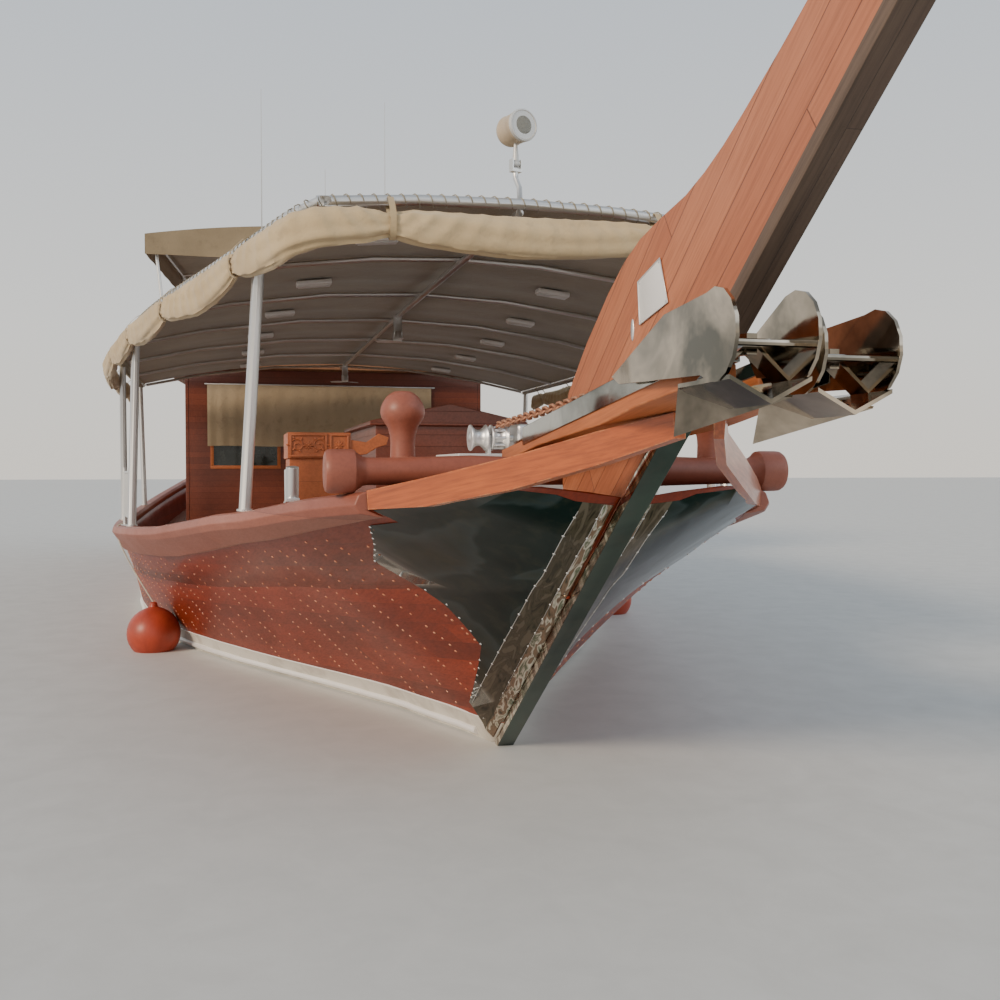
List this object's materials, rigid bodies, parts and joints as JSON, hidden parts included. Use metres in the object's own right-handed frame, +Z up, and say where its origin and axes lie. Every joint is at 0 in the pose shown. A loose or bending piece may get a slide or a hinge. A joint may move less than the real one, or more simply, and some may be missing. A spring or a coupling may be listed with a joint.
{
  "type": "motor dhow",
  "caption": "Wooden Gulf motor dhow with a raking stem and tall plank prow, foredeck anchors and windlass, a long awning, an aft cabin and a railed upper deck.",
  "frame": {"origin": "on the centreline at the waterline, 10.5 m abaft the stem's foot at the waterline", "axes": "+X towards the bow, +Y to port, +Z up"},
  "size_m": [27.926, 7.5482, 10.9],
  "materials": {
    "varnished_planking": "glossy varnished red-brown planking",
    "orange_timber": "satin orange-brown timber",
    "painted_rail": "satin pinkish-brown paint",
    "deck_boards": "worn deck boards",
    "keel_timber": "dark bottom paint on timber",
    "polished_steel": "mirror-polished stainless steel",
    "tube_steel": "polished stainless tube",
    "rusty_chain": "rusty galvanised iron",
    "awning_cloth": "matt taupe awning canvas",
    "cabin_panel": "red-brown painted boards",
    "white_paint": "off-white paint",
    "bronze": "worn bronze",
    "fender_red": "glossy red-orange vinyl",
    "lamp_grey": "grey enamel"
  },
  "bodies": {
    "boat": {"hull": "varnished_planking", "keel": "keel_timber", "stem": "keel_timber", "prow_blade": "orange_timber", "stem_sheath": "polished_steel", "bow_plating_starboard": "polished_steel", "bow_plating_port": "polished_steel", "stern_bulwark": "varnished_planking", "cross_beam": "painted_rail", "foredeck_platform": "deck_boards", "windlass_bed": "white_paint", "windlass": "polished_steel", "companion": "cabin_panel", "carved_bench": "orange_timber", "awning_roof_frame": "tube_steel", "awning_cloth": "awning_cloth", "rolled_curtains": "awning_cloth", "cabin_front": "cabin_panel", "cabin_back": "cabin_panel", "cabin_wall_starboard": "cabin_panel", "cabin_wall_port": "cabin_panel", "upper_deck": "deck_boards", "upper_rail": "painted_rail", "upper_awning": "awning_cloth", "upper_awning_frame": "tube_steel", "helm_console": "cabin_panel", "stern_ladder": "orange_timber", "bulwark_starboard": "varnished_planking", "rail_starboard": "painted_rail", "fore_plank_starboard": "orange_timber", "chute_beam_starboard": "orange_timber", "chute_liner_starboard": "polished_steel", "anchor_starboard": "polished_steel", "anchor_chain_starboard": "rusty_chain", "bollards_starboard": "polished_steel", "awning_rail_starboard": "tube_steel", "fender_ball_starboard": "fender_red", "bulwark_port": "varnished_planking", "rail_port": "painted_rail", "fore_plank_port": "orange_timber", "chute_beam_port": "orange_timber", "chute_liner_port": "polished_steel", "anchor_port": "polished_steel", "anchor_chain_port": "rusty_chain", "bollards_port": "polished_steel", "awning_rail_port": "tube_steel", "fender_ball_port": "fender_red"},
    "propeller": {"propeller": "bronze"},
    "rudder": {"rudder": "keel_timber"},
    "helm_wheel": {"helm_wheel": "painted_rail"},
    "companion_door": {"companion_door": "cabin_panel"},
    "boarding_gate_starboard": {"boarding_gate_starboard": "tube_steel"},
    "boarding_gate_port": {"boarding_gate_port": "tube_steel"},
    "searchlight": {"searchlight": "lamp_grey"},
    "fan_1": {"fan_1": "white_paint"},
    "fan_2": {"fan_2": "white_paint"},
    "cabin_door_starboard": {"cabin_door_starboard": "cabin_panel"},
    "cabin_door_port": {"cabin_door_port": "cabin_panel"}
  },
  "joints": [
    {"name": "propeller_turn", "type": "hinge", "parent": "boat", "child": "propeller", "pos_m": [-9.38, 0, -1.17], "axis": [1, 0, 0], "continuous": true},
    {"name": "rudder_steer", "type": "hinge", "parent": "boat", "child": "rudder", "pos_m": [-9.92, 0, 0], "axis": [0, 0, 1], "range_deg": [-35, 35]},
    {"name": "helm_steer", "type": "hinge", "parent": "boat", "child": "helm_wheel", "pos_m": [-3.4865, 0, 4.92], "axis": [1, 0, 0], "range_deg": [-420, 420]},
    {"name": "companion_door_swing", "type": "hinge", "parent": "boat", "child": "companion_door", "pos_m": [6.191, -0.32, 0.95157], "axis": [0, 0, 1], "range_deg": [0, 110]},
    {"name": "boarding_gate_starboard_swing", "type": "hinge", "parent": "boat", "child": "boarding_gate_starboard", "pos_m": [5.98, -3.0856, 1.46847], "axis": [0, 0, 1], "range_deg": [-90, 0]},
    {"name": "boarding_gate_port_swing", "type": "hinge", "parent": "boat", "child": "boarding_gate_port", "pos_m": [5.98, 3.0856, 1.46847], "axis": [0, 0, 1], "range_deg": [0, 90]},
    {"name": "searchlight_tilt", "type": "hinge", "parent": "boat", "child": "searchlight", "pos_m": [10.8, 0, 4.295], "axis": [-0.3057, 0.9521, 0], "range_deg": [-30, 40]},
    {"name": "fan_1_turn", "type": "hinge", "parent": "boat", "child": "fan_1", "pos_m": [5.2, 0, 3.70377], "axis": [0, 0, 1], "continuous": true},
    {"name": "fan_2_turn", "type": "hinge", "parent": "boat", "child": "fan_2", "pos_m": [-1.1, 0, 3.7096], "axis": [0, 0, 1], "continuous": true},
    {"name": "cabin_door_starboard_swing", "type": "hinge", "parent": "boat", "child": "cabin_door_starboard", "pos_m": [-2.469, -0.74, 0.9803], "axis": [0, 0, 1], "range_deg": [0, 95]},
    {"name": "cabin_door_port_swing", "type": "hinge", "parent": "boat", "child": "cabin_door_port", "pos_m": [-2.469, 0.74, 0.9803], "axis": [0, 0, 1], "range_deg": [-95, 0]}
  ],
  "couplings": [
    {"joint": "helm_steer", "follows": "rudder_steer", "ratio": 12}
  ]
}
